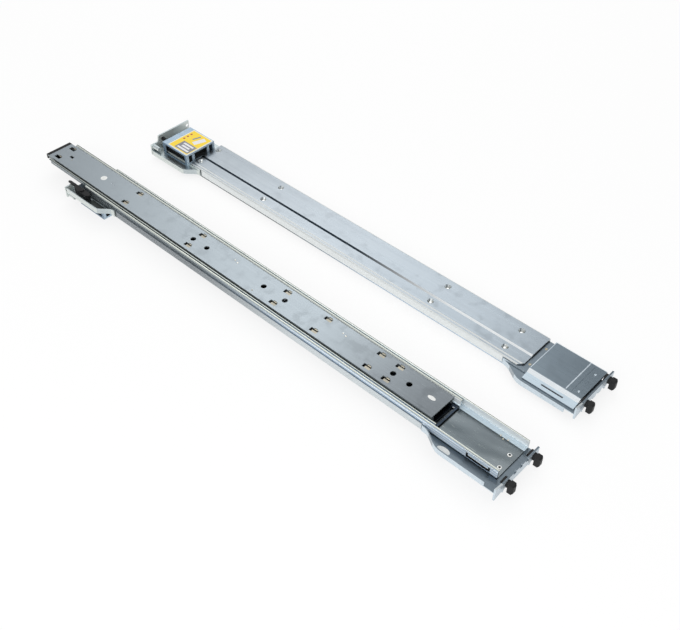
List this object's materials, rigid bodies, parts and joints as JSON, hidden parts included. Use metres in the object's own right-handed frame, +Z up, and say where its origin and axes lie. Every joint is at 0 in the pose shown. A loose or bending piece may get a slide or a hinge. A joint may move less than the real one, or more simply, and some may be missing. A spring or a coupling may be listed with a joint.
{
  "type": "sliding server rail pair",
  "caption": "Pair of telescopic ball-bearing slide rails for a rack: channelled outer members, sliding inner members, latching front ears and hooked rear ears.",
  "frame": {"origin": "centre of the pair's footprint, on the surface it lies on", "axes": "+X along the rails towards the rear post, +Y from the left rail to the right rail, +Z up"},
  "size_m": [0.7656, 0.2134, 0.029],
  "materials": {
    "zinc_back": "zinc plated sheet with fine lines along the rail",
    "zinc_bright": "bright zinc plated sheet",
    "slide_steel": "zinc plated, drawn",
    "inner_plate": "satin zinc plate",
    "cage_steel": "thin pressed strip",
    "ball_steel": "polished",
    "black_plastic": "matt moulded"
  },
  "bodies": {
    "frame": {"left_back_channel": "zinc_back", "left_outer_slide": "slide_steel", "left_front_bracket": "zinc_bright", "left_latch_box": "zinc_bright", "left_catch_leaf": "black_plastic", "right_back_channel": "zinc_back", "right_outer_slide": "slide_steel", "right_front_bracket": "zinc_bright", "right_latch_box": "zinc_bright", "right_catch_leaf": "black_plastic"},
    "left_intermediate": {"left_intermediate_slide": "slide_steel"},
    "left_inner": {"left_inner_slide": "inner_plate", "left_inner_bumper": "black_plastic"},
    "left_outer_cage": {"left_outer_ball_cage": "cage_steel", "left_outer_balls": "ball_steel"},
    "left_inner_cage": {"left_inner_ball_cage": "cage_steel", "left_inner_balls": "ball_steel"},
    "left_rear": {"left_rear_bracket": "zinc_bright", "left_rear_cover": "zinc_back"},
    "left_hook_near": {"left_rear_hook_near": "black_plastic"},
    "left_hook_far": {"left_rear_hook_far": "black_plastic"},
    "left_slider": {"left_latch_slider": "black_plastic"},
    "left_catch": {"left_catch_lever": "black_plastic"},
    "right_intermediate": {"right_intermediate_slide": "slide_steel"},
    "right_inner": {"right_inner_slide": "inner_plate", "right_inner_bumper": "black_plastic"},
    "right_outer_cage": {"right_outer_ball_cage": "cage_steel", "right_outer_balls": "ball_steel"},
    "right_inner_cage": {"right_inner_ball_cage": "cage_steel", "right_inner_balls": "ball_steel"},
    "right_rear": {"right_rear_bracket": "zinc_bright", "right_rear_cover": "zinc_back"},
    "right_hook_near": {"right_rear_hook_near": "black_plastic"},
    "right_hook_far": {"right_rear_hook_far": "black_plastic"},
    "right_slider": {"right_latch_slider": "black_plastic"},
    "right_catch": {"right_catch_lever": "black_plastic"}
  },
  "joints": [
    {"name": "left_intermediate_travel", "type": "slide", "parent": "frame", "child": "left_intermediate", "axis": [-1, 0, 0], "range_m": [-0.082, 0.248]},
    {"name": "left_inner_travel", "type": "slide", "parent": "left_intermediate", "child": "left_inner", "axis": [-1, 0, 0], "range_m": [-0.003, 0.337]},
    {"name": "left_outer_cage_travel", "type": "slide", "parent": "frame", "child": "left_outer_cage", "axis": [-1, 0, 0], "range_m": [-0.041, 0.124]},
    {"name": "left_inner_cage_travel", "type": "slide", "parent": "left_intermediate", "child": "left_inner_cage", "axis": [-1, 0, 0], "range_m": [-0.0015, 0.1685]},
    {"name": "left_depth_adjust", "type": "slide", "parent": "frame", "child": "left_rear", "axis": [1, 0, 0], "range_m": [0, 0.09]},
    {"name": "left_near_hook_turn", "type": "hinge", "parent": "left_rear", "child": "left_hook_near", "pos_m": [0.37385, -0.08653, 0.0154], "axis": [1, 0, 0], "range_deg": [-90, 90]},
    {"name": "left_far_hook_turn", "type": "hinge", "parent": "left_rear", "child": "left_hook_far", "pos_m": [0.37385, -0.04208, 0.0154], "axis": [1, 0, 0], "range_deg": [-90, 90]},
    {"name": "left_latch_pull", "type": "slide", "parent": "frame", "child": "left_slider", "axis": [1, 0, 0], "range_m": [0, 0.006], "stiffness_N_per_m": 300},
    {"name": "left_catch_press", "type": "hinge", "parent": "frame", "child": "left_catch", "pos_m": [-0.28515, -0.0977, 0.024], "axis": [0, 0, 1], "range_deg": [0, 6], "stiffness_Nm_per_rad": 0.2},
    {"name": "right_intermediate_travel", "type": "slide", "parent": "frame", "child": "right_intermediate", "axis": [-1, 0, 0], "range_m": [0, 0.33]},
    {"name": "right_inner_travel", "type": "slide", "parent": "right_intermediate", "child": "right_inner", "axis": [-1, 0, 0], "range_m": [0, 0.34]},
    {"name": "right_outer_cage_travel", "type": "slide", "parent": "frame", "child": "right_outer_cage", "axis": [-1, 0, 0], "range_m": [0, 0.165]},
    {"name": "right_inner_cage_travel", "type": "slide", "parent": "right_intermediate", "child": "right_inner_cage", "axis": [-1, 0, 0], "range_m": [0, 0.17]},
    {"name": "right_depth_adjust", "type": "slide", "parent": "frame", "child": "right_rear", "axis": [1, 0, 0], "range_m": [0, 0.09]},
    {"name": "right_near_hook_turn", "type": "hinge", "parent": "right_rear", "child": "right_hook_near", "pos_m": [0.37385, 0.05348, 0.0136], "axis": [1, 0, 0], "range_deg": [-90, 90]},
    {"name": "right_far_hook_turn", "type": "hinge", "parent": "right_rear", "child": "right_hook_far", "pos_m": [0.37385, 0.09792, 0.0136], "axis": [1, 0, 0], "range_deg": [-90, 90]},
    {"name": "right_latch_pull", "type": "slide", "parent": "frame", "child": "right_slider", "axis": [1, 0, 0], "range_m": [0, 0.006], "stiffness_N_per_m": 300},
    {"name": "right_catch_press", "type": "hinge", "parent": "frame", "child": "right_catch", "pos_m": [-0.28515, 0.0423, 0.005], "axis": [0, 0, 1], "range_deg": [0, 6], "stiffness_Nm_per_rad": 0.2}
  ],
  "couplings": [
    {"joint": "left_outer_cage_travel", "follows": "left_intermediate_travel", "ratio": 0.5},
    {"joint": "left_inner_cage_travel", "follows": "left_inner_travel", "ratio": 0.5},
    {"joint": "right_outer_cage_travel", "follows": "right_intermediate_travel", "ratio": 0.5},
    {"joint": "right_inner_cage_travel", "follows": "right_inner_travel", "ratio": 0.5}
  ]
}
